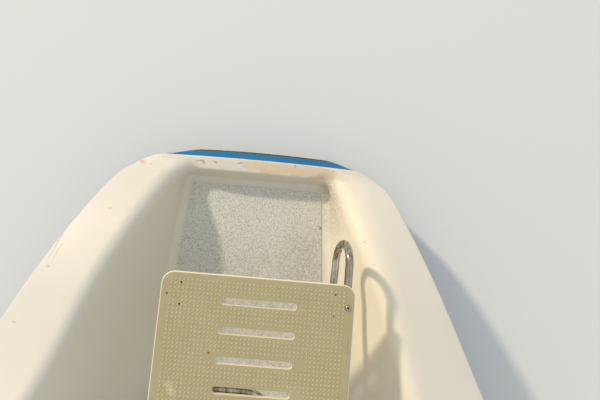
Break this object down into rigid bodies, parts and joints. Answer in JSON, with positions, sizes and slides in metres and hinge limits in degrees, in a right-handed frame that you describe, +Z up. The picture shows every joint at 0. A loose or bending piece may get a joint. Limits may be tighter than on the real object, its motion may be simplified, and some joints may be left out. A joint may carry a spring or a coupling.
{
  "type": "catamaran hull stern section",
  "caption": "Stern section of a catamaran hull: boarding well with raised coaming, steps, slotted seat plate on a tube frame, rounded bottom and rudder.",
  "frame": {"origin": "on the forward joint face, on the centreline, at the waterline", "axes": "+X to port, +Y aft, +Z up"},
  "size_m": [1.7, 2.1103, 2.14],
  "materials": {
    "hull_gelcoat": "glossy gelcoat, blue below the boot top",
    "deck_gelcoat": "satin weathered gelcoat",
    "bulkhead": "glass-faced panel",
    "nonskid": "rough speckled non-skid paint",
    "seat_plastic": "moulded khaki plastic, faintly shiny",
    "stainless": "polished stainless tube",
    "black_plug": "black plastic",
    "rudder_paint": "blue antifouling",
    "bush_plastic": "acetal"
  },
  "bodies": {
    "stern": {"hull_shell": "hull_gelcoat", "deck_moulding": "deck_gelcoat", "joint_bulkhead": "bulkhead", "nonskid_well_floor": "nonskid", "nonskid_lower_step": "nonskid", "nonskid_upper_step": "nonskid", "nonskid_deck": "nonskid", "seat_plate": "seat_plastic", "seat_loop_port": "stainless", "seat_rail_stbd": "stainless", "seat_brace": "stainless", "seat_flange_loop_upper": "stainless", "seat_flange_loop_lower": "stainless", "seat_flange_rail": "stainless", "seat_flange_brace": "stainless", "seat_rail_plug": "black_plug", "seat_screw_port_aft": "stainless", "seat_screw_port_fwd": "stainless", "seat_screw_stbd_aft": "stainless", "seat_screw_stbd_fwd": "stainless", "rudder_bush_lower": "bush_plastic", "rudder_bush_upper": "bush_plastic"},
    "rudder": {"rudder_blade": "rudder_paint", "rudder_stock": "stainless"}
  },
  "joints": [
    {"name": "rudder_steer", "type": "hinge", "parent": "stern", "child": "rudder", "pos_m": [0, 1.38, -0.3], "axis": [0, 0, 1], "range_deg": [-35, 35]}
  ]
}
